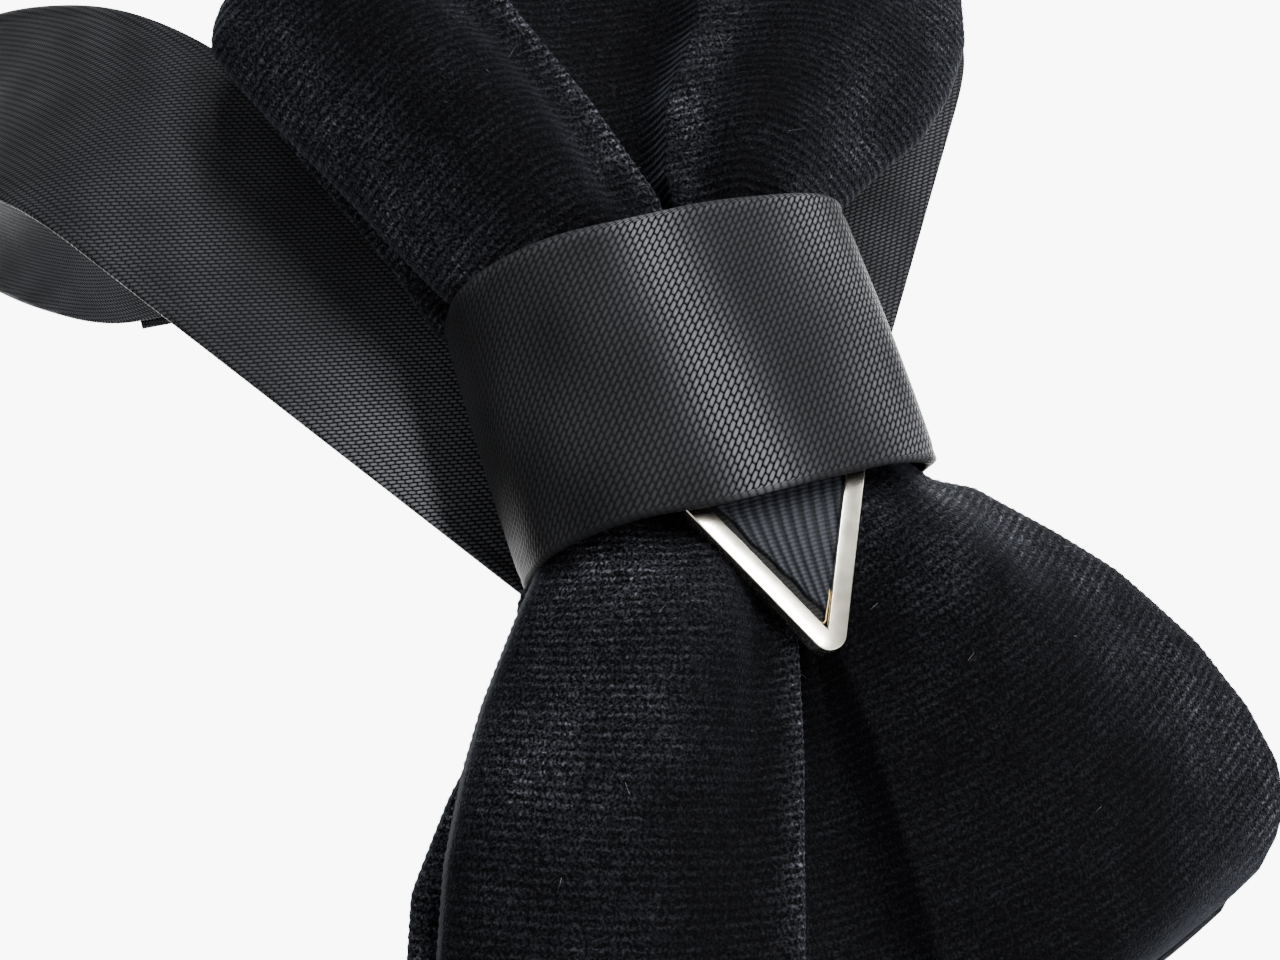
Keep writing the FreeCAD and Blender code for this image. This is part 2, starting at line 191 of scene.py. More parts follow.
# ---------------------------------------------------------------- materials
def new_material(name):
    material = bpy.data.materials.new(name)
    material.use_nodes = True
    nodes = material.node_tree.nodes
    return material, nodes, material.node_tree.links, nodes["Principled BSDF"]


def maths(nodes, links, operation, a, b=None, c=None, clamp=False):
    node = nodes.new("ShaderNodeMath")
    node.operation = operation
    node.use_clamp = clamp
    for socket, value in zip(node.inputs, (a, b, c)):
        if value is None:
            continue
        if isinstance(value, (int, float)):
            socket.default_value = value
        else:
            links.new(value, socket)
    return node.outputs[0]


def colour_ramp(nodes, links, factor, stops):
    ramp = nodes.new("ShaderNodeValToRGB")
    links.new(factor, ramp.inputs[0])
    elements = ramp.color_ramp.elements
    while len(elements) < len(stops):
        elements.new(0.5)
    for element, (position, colour) in zip(elements, stops):
        element.position = position
        element.color = (*colour, 1)
    return ramp.outputs[0]


def object_noise(nodes, links, scale, detail=3.0, roughness=0.6):
    where = nodes.new("ShaderNodeTexCoord")
    noise = nodes.new("ShaderNodeTexNoise")
    noise.inputs["Scale"].default_value = scale
    noise.inputs["Detail"].default_value = detail
    noise.inputs["Roughness"].default_value = roughness
    links.new(where.outputs["Object"], noise.inputs["Vector"])
    return noise.outputs["Fac"]


def bump(nodes, links, height, distance, strength, shader, onto=None):
    node = nodes.new("ShaderNodeBump")
    node.inputs["Distance"].default_value = distance * MM
    node.inputs["Strength"].default_value = strength
    links.new(height, node.inputs["Height"])
    if onto is not None:
        links.new(onto, node.inputs["Normal"])
    links.new(node.outputs["Normal"], shader.inputs["Normal"])
    return node.outputs["Normal"]


def cloth_lengths(nodes, links):
    """The two lengths along the cloth, in millimetres, from its UV map."""
    cloth = nodes.new("ShaderNodeUVMap")
    split = nodes.new("ShaderNodeSeparateXYZ")
    links.new(cloth.outputs["UV"], split.inputs[0])
    return split.outputs[0], split.outputs[1]


def painted(nodes, name):
    """A number kept on the piece's vertices."""
    lit = nodes.new("ShaderNodeAttribute")
    lit.attribute_name = name
    return lit.outputs["Fac"]


def velvet_material(name, ribbed):
    """Short upright pile: near black face on, bluish at a glance, with painted highlights along its rows'
    crests and the pile's painted sheen in its colour.
    """
    material, nodes, links, shader = new_material(name)
    fine = object_noise(nodes, links, 4200.0, 2.0, 0.7)
    patch = object_noise(nodes, links, 190.0, 3.0, 0.6)
    tips = maths(nodes, links, "MULTIPLY_ADD", fine, 4.0, -1.75, clamp=True)
    height = fine
    if ribbed:
        turns = maths(nodes, links, "MULTIPLY", cloth_lengths(nodes, links)[1], 2 * math.pi / RIB_PITCH)
        crest = maths(nodes, links, "MULTIPLY_ADD", maths(nodes, links, "COSINE", turns), 0.5, 0.5)
        broken = object_noise(nodes, links, 620.0, 3.0, 0.65)
        rows = maths(nodes, links, "MULTIPLY_ADD", broken, 2.6, -0.75, clamp=True)
        # painted highlight: the fibre ends are painted brighter on each row's crest, with a brighter line
        # along it
        combed = maths(nodes, links, "MULTIPLY", crest, maths(nodes, links, "MULTIPLY_ADD", rows, 0.8, 0.2))
        share = maths(nodes, links, "MULTIPLY_ADD", combed, 0.62, 0.38)
        line = maths(nodes, links, "MULTIPLY", maths(nodes, links, "POWER", crest, 3.0),
                     maths(nodes, links, "MULTIPLY_ADD", rows, 0.6, 0.4))
        tips = maths(nodes, links, "ADD", maths(nodes, links, "MULTIPLY", tips, share),
                     maths(nodes, links, "MULTIPLY", line, 0.10))
        height = maths(nodes, links, "ADD", fine, maths(nodes, links, "MULTIPLY", crest, 0.3))
    tone = maths(nodes, links, "MULTIPLY", tips, maths(nodes, links, "MULTIPLY_ADD", patch, 1.1, 0.1))
    # the pile's painted sheen scales the colour
    tone = maths(nodes, links, "MULTIPLY", maths(nodes, links, "MULTIPLY", tone, 1.25), painted(nodes, "painted_pile_sheen"))
    base = colour_ramp(nodes, links, tone, [(0.0, (0.0008, 0.0008, 0.0010)), (0.10, (0.0072, 0.0074, 0.0092)),
                                            (0.35, (0.026, 0.0265, 0.032)), (1.0, (0.175, 0.180, 0.207))])
    links.new(base, shader.inputs["Base Color"])
    shader.inputs["Roughness"].default_value = 0.8
    shader.inputs["Specular IOR Level"].default_value = 0.03
    shader.inputs["Sheen Weight"].default_value = 0.10
    shader.inputs["Sheen Roughness"].default_value = 0.28
    shader.inputs["Sheen Tint"].default_value = (0.62, 0.68, 0.85, 1)
    bump(nodes, links, height, 0.14, 1.0, shader)
    return material


def satin_material(name, base_low, base_high, pitch=0.38, length=0.88, depth=0.06):
    """A satin face: short floats in staggered diagonal rows, laid out on the cloth's own UV map."""
    material, nodes, links, shader = new_material(name)
    along_u, along_v = cloth_lengths(nodes, links)
    plus = maths(nodes, links, "ADD", along_u, along_v)
    minus = maths(nodes, links, "SUBTRACT", along_u, along_v)
    row = maths(nodes, links, "DIVIDE", minus, pitch * math.sqrt(2))
    row_number = maths(nodes, links, "FLOOR", row)
    across = maths(nodes, links, "FRACT", row)
    shift = maths(nodes, links, "MULTIPLY", row_number, 0.38)
    run = maths(nodes, links, "ADD", maths(nodes, links, "DIVIDE", plus, length * math.sqrt(2)), shift)
    along = maths(nodes, links, "FRACT", run)
    hump_across = maths(nodes, links, "MULTIPLY", maths(nodes, links, "MULTIPLY", across, 4.0),
                        maths(nodes, links, "SUBTRACT", 1.0, across))
    hump_along = maths(nodes, links, "POWER", maths(nodes, links, "MULTIPLY",
                       maths(nodes, links, "MULTIPLY", along, 4.0),
                       maths(nodes, links, "SUBTRACT", 1.0, along)), 0.6)
    weave = maths(nodes, links, "MULTIPLY", hump_across, hump_along)
    fuzz = object_noise(nodes, links, 2600.0, 2.0, 0.6)
    height = maths(nodes, links, "ADD", weave, maths(nodes, links, "MULTIPLY", fuzz, 0.35))
    tone = maths(nodes, links, "ADD", maths(nodes, links, "MULTIPLY", weave, 1.15),
                 maths(nodes, links, "MULTIPLY", fuzz, 0.3))
    tone = maths(nodes, links, "SUBTRACT", tone, 0.28, clamp=True)
    painted_shine = painted(nodes, "painted_shine")
    # painted light: the floats' crowns are painted brighter as glints, standing out in the painted highlight
    # and melting together in the painted shade
    crisp = maths(nodes, links, "MULTIPLY_ADD", painted_shine, 1.25, 0.15)
    apart = maths(nodes, links, "MULTIPLY", maths(nodes, links, "SUBTRACT", tone, 0.42), crisp)
    tone = maths(nodes, links, "MULTIPLY", maths(nodes, links, "ADD", apart, 0.42), painted_shine)
    base = colour_ramp(nodes, links, tone, [(0.02, base_low), (0.9, base_high)])
    links.new(base, shader.inputs["Base Color"])
    rough = maths(nodes, links, "MULTIPLY_ADD", weave, -0.22, 0.62)
    links.new(maths(nodes, links, "MULTIPLY_ADD", painted_shine, -0.20, rough), shader.inputs["Roughness"])
    shader.inputs["Specular IOR Level"].default_value = 0.015
    shader.inputs["Sheen Weight"].default_value = 0.01
    shader.inputs["Sheen Roughness"].default_value = 0.4
    bump(nodes, links, height, depth, 1.0, shader)
    return material


def grosgrain_material():
    """Blue-black ribbon: fine cross threads over each cord, with painted highlights on the cords and painted
    shade between them.
    """
    material, nodes, links, shader = new_material("grosgrain")
    down = cloth_lengths(nodes, links)[1]
    threads = maths(nodes, links, "SINE", maths(nodes, links, "MULTIPLY", down, 2 * math.pi / 0.34))
    fuzz = object_noise(nodes, links, 3000.0, 2.0, 0.6)
    height = maths(nodes, links, "ADD", maths(nodes, links, "MULTIPLY", threads, 0.35), fuzz)
    tone = maths(nodes, links, "MULTIPLY", maths(nodes, links, "MULTIPLY_ADD", height, 0.6, 0.2),
                 painted(nodes, "painted_shine"))
    base = colour_ramp(nodes, links, tone, [(0.02, (0.0006, 0.0007, 0.001)), (0.9, (0.034, 0.038, 0.051))])
    links.new(base, shader.inputs["Base Color"])
    shader.inputs["Roughness"].default_value = 0.5
    shader.inputs["Specular IOR Level"].default_value = 0.16
    shader.inputs["Sheen Weight"].default_value = 0.02
    bump(nodes, links, height, 0.05, 0.7, shader)
    return material


def metal_material(name, colour, roughness, scratch=0.05):
    material, nodes, links, shader = new_material(name)
    wear = object_noise(nodes, links, 900.0, 4.0, 0.6)
    rough = maths(nodes, links, "MULTIPLY_ADD", wear, scratch * 2, roughness)
    links.new(rough, shader.inputs["Roughness"])
    tint = colour_ramp(nodes, links, wear, [(0.3, tuple(0.92 * c for c in colour)), (0.7, colour)])
    links.new(tint, shader.inputs["Base Color"])
    shader.inputs["Metallic"].default_value = 1.0
    bump(nodes, links, wear, 0.01, 0.15, shader)
    return material


def plain_cloth_material(name, low, high, scale):
    """Woven cloth that hardly shows: thread lines both ways over a mottled tone."""
    material, nodes, links, shader = new_material(name)
    where = nodes.new("ShaderNodeTexCoord")
    split = nodes.new("ShaderNodeSeparateXYZ")
    links.new(where.outputs["Object"], split.inputs[0])
    turn = 2 * math.pi / (scale * MM)
    lines = [maths(nodes, links, "SINE", maths(nodes, links, "MULTIPLY", split.outputs[i], turn))
             for i in (0, 2)]
    weave = maths(nodes, links, "ADD", *lines)
    mottle = object_noise(nodes, links, 1500.0)
    tone = maths(nodes, links, "ADD", mottle, maths(nodes, links, "MULTIPLY", weave, 0.12))
    links.new(colour_ramp(nodes, links, tone, [(0.2, low), (0.8, high)]), shader.inputs["Base Color"])
    shader.inputs["Roughness"].default_value = 0.85
    shader.inputs["Sheen Weight"].default_value = 0.1
    bump(nodes, links, tone, 0.05, 0.5, shader)
    return material


VELVET = velvet_material("velvet", True)
PILE = velvet_material("velvet_pile", False)
SATIN = satin_material("satin", (0.0005, 0.0005, 0.0006), (0.105, 0.107, 0.117))
STRAP_SATIN = satin_material("strap_satin", (0.0005, 0.0005, 0.0006), (0.090, 0.092, 0.101),
                             pitch=0.36, length=0.75)
GROSGRAIN = grosgrain_material()
TIP_METAL = metal_material("tip_metal", (1.0, 0.95, 0.80), 0.16)
RIM_METAL = metal_material("tip_rim_metal", (0.42, 0.30, 0.13), 0.25)
CLASP_METAL = metal_material("clasp_metal", (0.66, 0.66, 0.68), 0.16)
THREAD = plain_cloth_material("thread", (0.010, 0.010, 0.012), (0.050, 0.050, 0.056), 0.3)
LINT = plain_cloth_material("lint", (0.16, 0.16, 0.17), (0.34, 0.34, 0.36), 0.5)
INTERFACING = plain_cloth_material("interfacing", (0.55, 0.54, 0.50), (0.78, 0.77, 0.73), 0.6)
WADDING = plain_cloth_material("wadding", (0.010, 0.010, 0.011), (0.030, 0.030, 0.032), 1.2)


# ---------------------------------------------------------------- velvet bows
def eased(at, points):
    """A smoothed curve through (x, value) points."""
    xs, ys = zip(*points)
    fine = np.linspace(xs[0], xs[-1], 400)
    values = np.interp(fine, xs, ys)
    width = 15
    kernel = np.hanning(width)
    padded = np.pad(values, width // 2, mode="reflect", reflect_type="odd")
    values = np.convolve(padded, kernel / kernel.sum(), mode="valid")
    return np.interp(at, fine, values)


# each pair is the height of a pile row where it crosses the middle, and the wing's half width there
WAIST = [(0, 13.2), (8, 13.4), (12, 14.9), (15, 16.4), (18, 18.2)]
HALF_WIDTHS = {
    ("lower", -1): [(21.4, 20.4), (28.8, 25.0), (34, 27.9), (40.7, 31.2), (47.5, 33.8), (53, 35.4),
                    (56, 35.3), (57.6, 34.0), (58.5, 32.0)],
    ("lower", 1): [(21.4, 22.0), (28.8, 27.6), (35, 32.0), (43.4, 36.8), (49.6, 39.3), (54, 40.0),
                   (56.4, 39.2), (57.8, 37.2), (58.5, 34.5)],
    ("upper", -1): [(24.4, 21.2), (30.3, 23.8), (37.3, 27.2), (43.3, 30.0), (46.5, 31.2), (48.3, 30.4),
                    (51, 27.0), (54, 22.6), (57, 18.0), (58.5, 15.5)],
    ("upper", 1): [(24, 24.2), (29.5, 30.0), (35, 34.6), (40.5, 38.2), (45, 39.8), (52, 39.6), (56, 38.4),
                   (57.8, 36.6), (58.5, 34.5)],
}

# how many margins further out the back bow reaches at each side, near its ends
SHOWS = {("lower", -1): 1.6, ("lower", 1): 0.2, ("upper", -1): -0.3, ("upper", 1): 0.2}


def wing_width(rho, which, side, margin):
    """Half width of one side of a wing where its pile row crosses the middle at rho."""
    shows = SHOWS[which, side]
    grown = [(r + margin * smooth((r - 20) / 30), w + margin * (shows * smooth((r - 26) / 16) - 0.6))
             for r, w in HALF_WIDTHS[which, side]]
    return eased(rho, WAIST + grown)


RIDGES = {  # x of the gathered front's left and right ridges along the wing
    "lower": ([(0, 0.4), (14, 1.6), (25, -2.0), (33, -4.8), (41, -7.6), (50, -10.6), (60, -13.4)],
              [(0, 1.0), (14, 3.0), (25, 3.2), (33, 3.0), (41, 2.6), (50, 2.2), (60, 2.0)]),
    "upper": ([(0, 0.0), (14, 0.5), (18, -0.9), (25, -3.1), (34, -7.2), (45, -11.0), (60, -15.0)],
              [(0, 1.4), (14, 2.2), (18, 2.4), (25, 4.6), (32, 9.4), (45, 14.0), (60, 18.0)]),
}


def row_bend(rho):
    """How strongly a pile row curves round the gathered waist."""
    return 0.0160 * np.exp(-(rho - 18) / 38) * smooth((rho - 3) / 9)


VALLEY = 0.15       # share of the front's columns on each side of its middle that line the valley
FRONT_SHARE = 0.74


def wing_grid(name, margin, columns, ribs):
    """A grid wrapped round a wing: front from left to right, then back from right to left."""
    end = FACE_HIGH[2] + margin
    piece, u, v, order = new_grid(name, columns, ribs * ROWS_PER_RIB)
    hidden = 0.05
    rho = np.where(v < hidden, v / hidden * 9.0, 9.0 + (v - hidden) / (1 - hidden) * (end - 9.0))
    on_front = u <= FRONT_SHARE
    c = np.where(on_front, -1 + 2 * u / FRONT_SHARE, 1 - 2 * (u - FRONT_SHARE) / (1 - FRONT_SHARE))
    return piece, order, rho, c, on_front, end


def bell(x, centre, width):
    return np.exp(-((x - centre) / width) ** 2)


def painted_pile_sheen(which, rho, c, panel, gathered, on_front, seed, x):
    """Painted sheen of the brushed pile, for the velvet's colour: 0 where the pile is laid away, 1 where it
    shines.
    """
    if not gathered:
        return np.where(on_front, 0.35 + 0.5 * (np.abs(c) > 0.9), 0.3)
    left = c < -VALLEY
    right = c > VALLEY
    # painted highlights: the folded crease, ridges, shoulders, outer edges and patches near the knot are
    # painted brighter
    crease = bell(c, -VALLEY, 0.03) * smooth((rho - 12) / 3)
    if which == "lower":
        down = bell(rho, 15, 7) + 0.75 * bell(rho, 31, 6) + 0.25
        shoulder = 0.88 * bell(panel, 0.75, 0.28) * smooth((rho - 11) / 5) * down
        middle = 0.30 * bell(panel, 0.40, 0.25) * bell(rho, 17, 8)
        outer = 0.65 * smooth((panel - 0.5) / 0.4)
        near_knot = 0.45 * bell(rho, 20, 8) * smooth(panel / 0.4)
        value = 0.10 + left * (shoulder + middle) + right * (outer + near_knot) + 0.8 * crease
    else:
        outer_left = 0.5 * smooth((panel - 0.6) / 0.35)
        ridge_left = 0.30 * bell(panel, 0.12, 0.12)
        ridge_right = 0.80 * bell(panel, 0.08, 0.12) * bell(rho, 24, 12)
        outer_right = 0.6 * smooth((panel - 0.45) / 0.4)
        near_knot = 0.3 * bell(rho, 13, 2.0) * (np.abs(c) > 0.5)
        value = 0.14 + left * (outer_left + ridge_left) + right * (ridge_right + outer_right) \
            + 1.0 * crease + near_knot
    value = value * (0.85 + 0.4 * np.clip(waves(x / 26, rho / 26, seed + 8), -1, 1))
    return np.clip(np.where(on_front, value + 0.10, 0.3), 0.12, 1.2)


def velvet_wing(name, which, plane, margin, columns, ribs, seed, gathered):
    """One wing of a velvet loop. A gathered wing has ridges and a valley in front."""
    up = 1 if which == "upper" else -1
    piece, order, rho, c, on_front, end = wing_grid(name, margin, columns, ribs)
    wide_left = wing_width(rho, which, -1, margin)
    wide_right = wing_width(rho, which, 1, margin)
    ridge_left = eased(rho, RIDGES[which][0])
    ridge_right = eased(rho, RIDGES[which][1])
    left = c < -VALLEY
    right = c > VALLEY
    panel = np.where(left, (-c - VALLEY) / (1 - VALLEY), np.where(right, (c - VALLEY) / (1 - VALLEY), 0))
    inner = np.clip(c / VALLEY, -1, 1)
    x = np.where(left, ridge_left + panel * (-wide_left - ridge_left),
                 np.where(right, ridge_right + panel * (wide_right - ridge_right),
                          (ridge_left + ridge_right) / 2 + inner * (ridge_right - ridge_left) / 2))
    s = np.where(x < 0, -x / wide_left, x / wide_right)
    end_round = np.sqrt(np.clip(1 - np.clip((rho - (end - 4.5)) / 4.5, 0, 1) ** 2, 0, 1))
    edge = np.sqrt(np.clip(1 - np.abs(s) ** 5, 0, 1))
    if gathered:
        crown = eased(rho, [(0, 3.2), (9, 3.6), (12, 4.8), (16, 7.0), (22, 8.8), (33, 9.2), (44, 7.8),
                            (52, 6.2), (end, 4.6)])
        ridge = eased(rho, [(0, 3.0), (9, 3.2), (12, 4.4), (17, 5.3), (24, 5.6), (33, 6.8), (44, 6.6),
                            (52, 5.4), (end, 4.2)])
        cut = eased(rho, [(0, 0.2), (9, 0.4), (12, 2.6), (19, 3.8), (33, 4.8), (44, 4.2), (53, 2.4),
                          (end, 1.2)])
        if which == "lower":
            ridge = ridge - right * 1.6 * smooth((rho - 15) / 10)
        lift = crown - ridge
        puff = ridge + lift * np.sin(math.pi * np.clip(panel, 0, 1) ** 0.85) ** 1.2 \
            + lift * 0.35 * np.sin(math.pi * panel) ** 4
        dip = 0.8 * smooth((rho - 12) / 6) * bell(panel, 0.13, 0.09) * (1 - smooth((rho - 34) / 16))
        fan = 0.5 * np.exp(-np.clip(rho - 13, 0, 60) / 7.0) * np.cos(panel * 5.2 * math.pi + 0.6)
        wander = 0.45 * waves(x / 60, rho / 60, seed) * smooth((rho - 14) / 8)
        on_panel = puff - dip * left + fan * smooth(panel / 0.15) + wander * smooth(panel / 0.2)
        in_valley = ridge - cut * np.clip(1 - np.abs(inner) ** 3.0, 0, 1) ** 0.8
        if which == "lower":
            in_valley = in_valley - 1.6 * smooth((rho - 15) / 10) * smooth((inner + 1) / 2)
        front = np.where(left | right, on_panel, np.maximum(in_valley, 1.1)) * edge
        fold = np.exp(-((c + VALLEY) / 0.035) ** 2) * smooth((rho - 12) / 4) * on_front
        x = x + fold * 1.1
        front = front + fold * 0.55
        back_depth = eased(rho, [(0, 3.0), (13, 3.0), (20, 2.4), (end, 2.0)])
    else:
        front = eased(rho, [(0, 2.7), (13, 2.7), (20, 2.3), (end, 2.0)]) * edge \
            * (1 + 0.12 * waves(x / 50, rho / 50, seed))
        back_depth = eased(rho, [(0, 2.7), (13, 2.7), (20, 2.4), (end, 2.0)])
    back = back_depth * edge * (1 + 0.10 * waves(x / 45, rho / 45, seed + 1))
    y = plane + np.where(on_front, -front, back) * end_round
    z = rho - row_bend(rho) * x ** 2
    droop = 0.35 * waves(x / 70, rho / 90, seed + 2) * smooth((rho - 20) / 20)
    points = np.stack([x, y + droop * 0.5, up * z], axis=2)
    normals = surface_normals(points, around=True)
    outward = np.where(on_front, -1.0, 1.0)
    flip = np.sign((normals[..., 1] * outward).sum())
    grain = 1 + 0.45 * waves(x / 7, rho / 7, seed + 3, count=7, high=4.0)
    ripple = RIB_HEIGHT * np.cos(2 * math.pi * rho / RIB_PITCH) * grain * smooth((rho - 9) / 3)
    points = points + normals * flip * ripple[..., None]
    points[:, -1] = points[:, 0]
    points[-1, :, 1] = plane
    place(piece, order, points, np.stack([x, rho], axis=2))
    # the pile's painted sheen, kept on the wing for its colour
    paint(piece, order, "painted_pile_sheen", painted_pile_sheen(which, rho, c, panel, gathered, on_front, seed, x))
    close_up(piece, 0.02)
    dress(piece, VELVET, "bow")
    return piece


def stiffener(name, node, plane, margin):
    """A thin stiff sheet inside a bow, a little smaller than the velvet round it."""
    piece, u, v, order = new_grid(name, 28, 96)
    low, high = box_mm(node)
    half = (high[1] - low[1]) / 2
    end = high[2]
    turn = 2 * math.pi * u
    c = np.clip(1.3 * np.cos(turn), -1, 1)
    z = -end + 2 * end * v
    rho = np.abs(z)
    wide = [np.where(z > 0, wing_width(rho, "upper", side, margin), wing_width(rho, "lower", side, margin))
            for side in (-1, 1)]
    corner = 1 - 0.5 * np.clip((rho - end + 6) / 6, 0, 1) ** 3
    x = c * (np.where(c < 0, wide[0], wide[1]) - 3.5 - 2.0 * smooth((rho - 20) / 20)) * corner
    bend = np.where(rho > 14, row_bend(rho) * x ** 2, 0)
    z = z - np.sign(z) * bend * smooth((rho - 14) / 10)
    points = np.stack([x, plane + half * np.clip(2.2 * np.sin(turn), -1, 1), z], axis=2)
    points[:, -1] = points[:, 0]
    place(piece, order, points)
    close_up(piece, 0.004)
    dress(piece, INTERFACING, "bow")
    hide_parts(node)
    return piece


def velvet_bows():
    end = FACE_HIGH[2]
    ribs = round((end - 9) / RIB_PITCH / 0.95)
    front = [velvet_wing("front_bow_upper", "upper", FRONT_PLANE, 0.0, 330, ribs, 12, True),
             velvet_wing("front_bow_lower", "lower", FRONT_PLANE, 0.0, 330, ribs, 10, True)]
    back = [velvet_wing("back_bow_upper", "upper", BACK_PLANE, 2.0, 150, ribs, 32, False),
            velvet_wing("back_bow_lower", "lower", BACK_PLANE, 2.0, 150, ribs, 30, False)]
    stiffener("front_stiffener", "front_bow_interfacing", FRONT_PLANE, 0.0)
    stiffener("back_stiffener", "back_bow_interfacing", BACK_PLANE, 2.0)
    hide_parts("front_bow_face", "front_bow_back_ply")
    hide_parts("back_bow_face", "back_bow_back_ply")
    return front, back


# ---------------------------------------------------------------- knot
def knot():
    """A folded band: rounded ring plan, rolled lips, soft upright flutes in front."""
    half_x = (KNOT_HIGH[0] - KNOT_LOW[0]) / 2
    half_y = (KNOT_HIGH[1] - KNOT_LOW[1]) / 2
    centre_y = (KNOT_HIGH[1] + KNOT_LOW[1]) / 2
    half_z = (KNOT_HIGH[2] - KNOT_LOW[2]) / 2
    thick = 0.9
    piece, u, v, order = new_grid("satin_knot", 260, 90)
    angle = 2 * math.pi * u
    power = 2 / 2.9
    ring_x = half_x * np.sign(np.cos(angle)) * np.abs(np.cos(angle)) ** power
    ring_y = half_y * np.sign(np.sin(angle)) * np.abs(np.sin(angle)) ** power
    # round the band's section: outer face, lower lip, inner face, upper lip
    lip = 0.10
    face = np.clip(v / (0.5 - lip), 0, 1)
    low_turn = np.clip((v - (0.5 - lip)) / lip, 0, 1)
    inner_face = np.clip((v - 0.5) / (0.5 - lip), 0, 1)
    high_turn = np.clip((v - (1 - lip)) / lip, 0, 1)
    roll = thick / 2
    top = half_z - roll
    height = np.where(v < 0.5 - lip, top - 2 * top * face,
                      np.where(v < 0.5, -top - roll * np.sin(math.pi * low_turn),
                               np.where(v < 1 - lip, -top + 2 * top * inner_face,
                                        top + roll * np.sin(math.pi * high_turn))))
    inset = np.where(v < 0.5 - lip, 0.0,
                     np.where(v < 0.5, roll * (1 - np.cos(math.pi * low_turn)),
                              np.where(v < 1 - lip, thick, roll * (1 + np.cos(math.pi * high_turn)))))
    outer_face = 1 - np.clip(inset / thick, 0, 1)
    share = height / half_z
    barrel = 0.25 * (1 - share ** 2) - 0.12 * np.exp(-((np.abs(share) - 0.93) / 0.03) ** 2)
    in_front = smooth(-np.sin(angle) * 1.6)
    flute = 0.20 * np.cos((ring_x - 1.5 - 0.05 * height) * 2 * math.pi / 12.5) * in_front
    slack = 0.14 * waves(u * 3, v, 5) * outer_face
    out = (barrel + flute + slack) * outer_face - inset
    grow_x = 1 + out / half_x
    grow_y = 1 + out / half_y
    points = np.stack([ring_x * grow_x, centre_y + ring_y * grow_y, height], axis=2)
    points[..., 2] += 0.30 * in_front * np.cos(ring_x / half_x * math.pi / 2) * share
    points[..., 2] -= 0.70 * in_front * smooth(-share) * smooth((ring_x + 15) / 12)
    points[..., 1] -= 0.65 * in_front * smooth((-share - 0.35) / 0.5) * smooth((15 - np.abs(ring_x)) / 5)
    points[:, -1] = points[:, 0]
    points[-1] = points[0]
    step = np.linalg.norm(np.diff(points, axis=1), axis=2).mean(axis=0)
    perimeter = np.concatenate([[0], np.cumsum(step)])
    uv = np.stack([np.broadcast_to(perimeter, u.shape), -v * 2.1 * (2 * half_z)], axis=2)
    place(piece, order, points, uv)
    # painted light on the satin: highlight bands left of the middle and near the right edge, a brighter top
    # lip, a darker left side, and painted shade on the band's inside
    leaning = ring_x + 0.10 * height
    painted_light_bands = 0.24 + 0.76 * bell(leaning, -2.0, 2.7) + 0.06 * smooth((leaning + 2) / 4) \
        + 0.46 * bell(leaning, 13.0, 3.6) + 0.15 * bell(share, 0.97, 0.05)
    painted_shine = np.where(np.sin(angle) < 0, painted_light_bands, 0.3) * (1 + 0.25 * waves(u * 5, v * 2, 9))
    paint(piece, order, "painted_shine", np.clip(painted_shine * (0.25 + 0.75 * outer_face), 0.02, 1))
    close_up(piece, fill=False)
    dress(piece, SATIN, "bow")
    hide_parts("knot_wrap")
    return piece


def knot_wad():
    """The crowned wad that keeps the knot's front full."""
    low, high = box_mm("knot_padding")
    middle, half = (low + high) / 2, (high - low) / 2
    piece, u, v, order = new_grid("knot_wad", 48, 40)
    turn, rise = 2 * math.pi * u, math.pi * (v - 0.5)
    ring = np.cos(rise) ** 0.45
    long_way, through, upright = np.sin(rise), np.sin(turn), np.cos(turn)
    x = middle[0] + half[0] * np.sign(long_way) * np.abs(long_way) ** 0.7
    y = middle[1] + half[1] * ring * np.sign(through) * np.abs(through) ** 0.8
    z = middle[2] + half[2] * ring * np.sign(upright) * np.abs(upright) ** 0.45
    points = np.stack([x, y, z], axis=2)
    points[:, -1] = points[:, 0]
    place(piece, order, points)
    close_up(piece, 0.02)
    dress(piece, WADDING, "bow")
    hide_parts("knot_padding")
    return piece


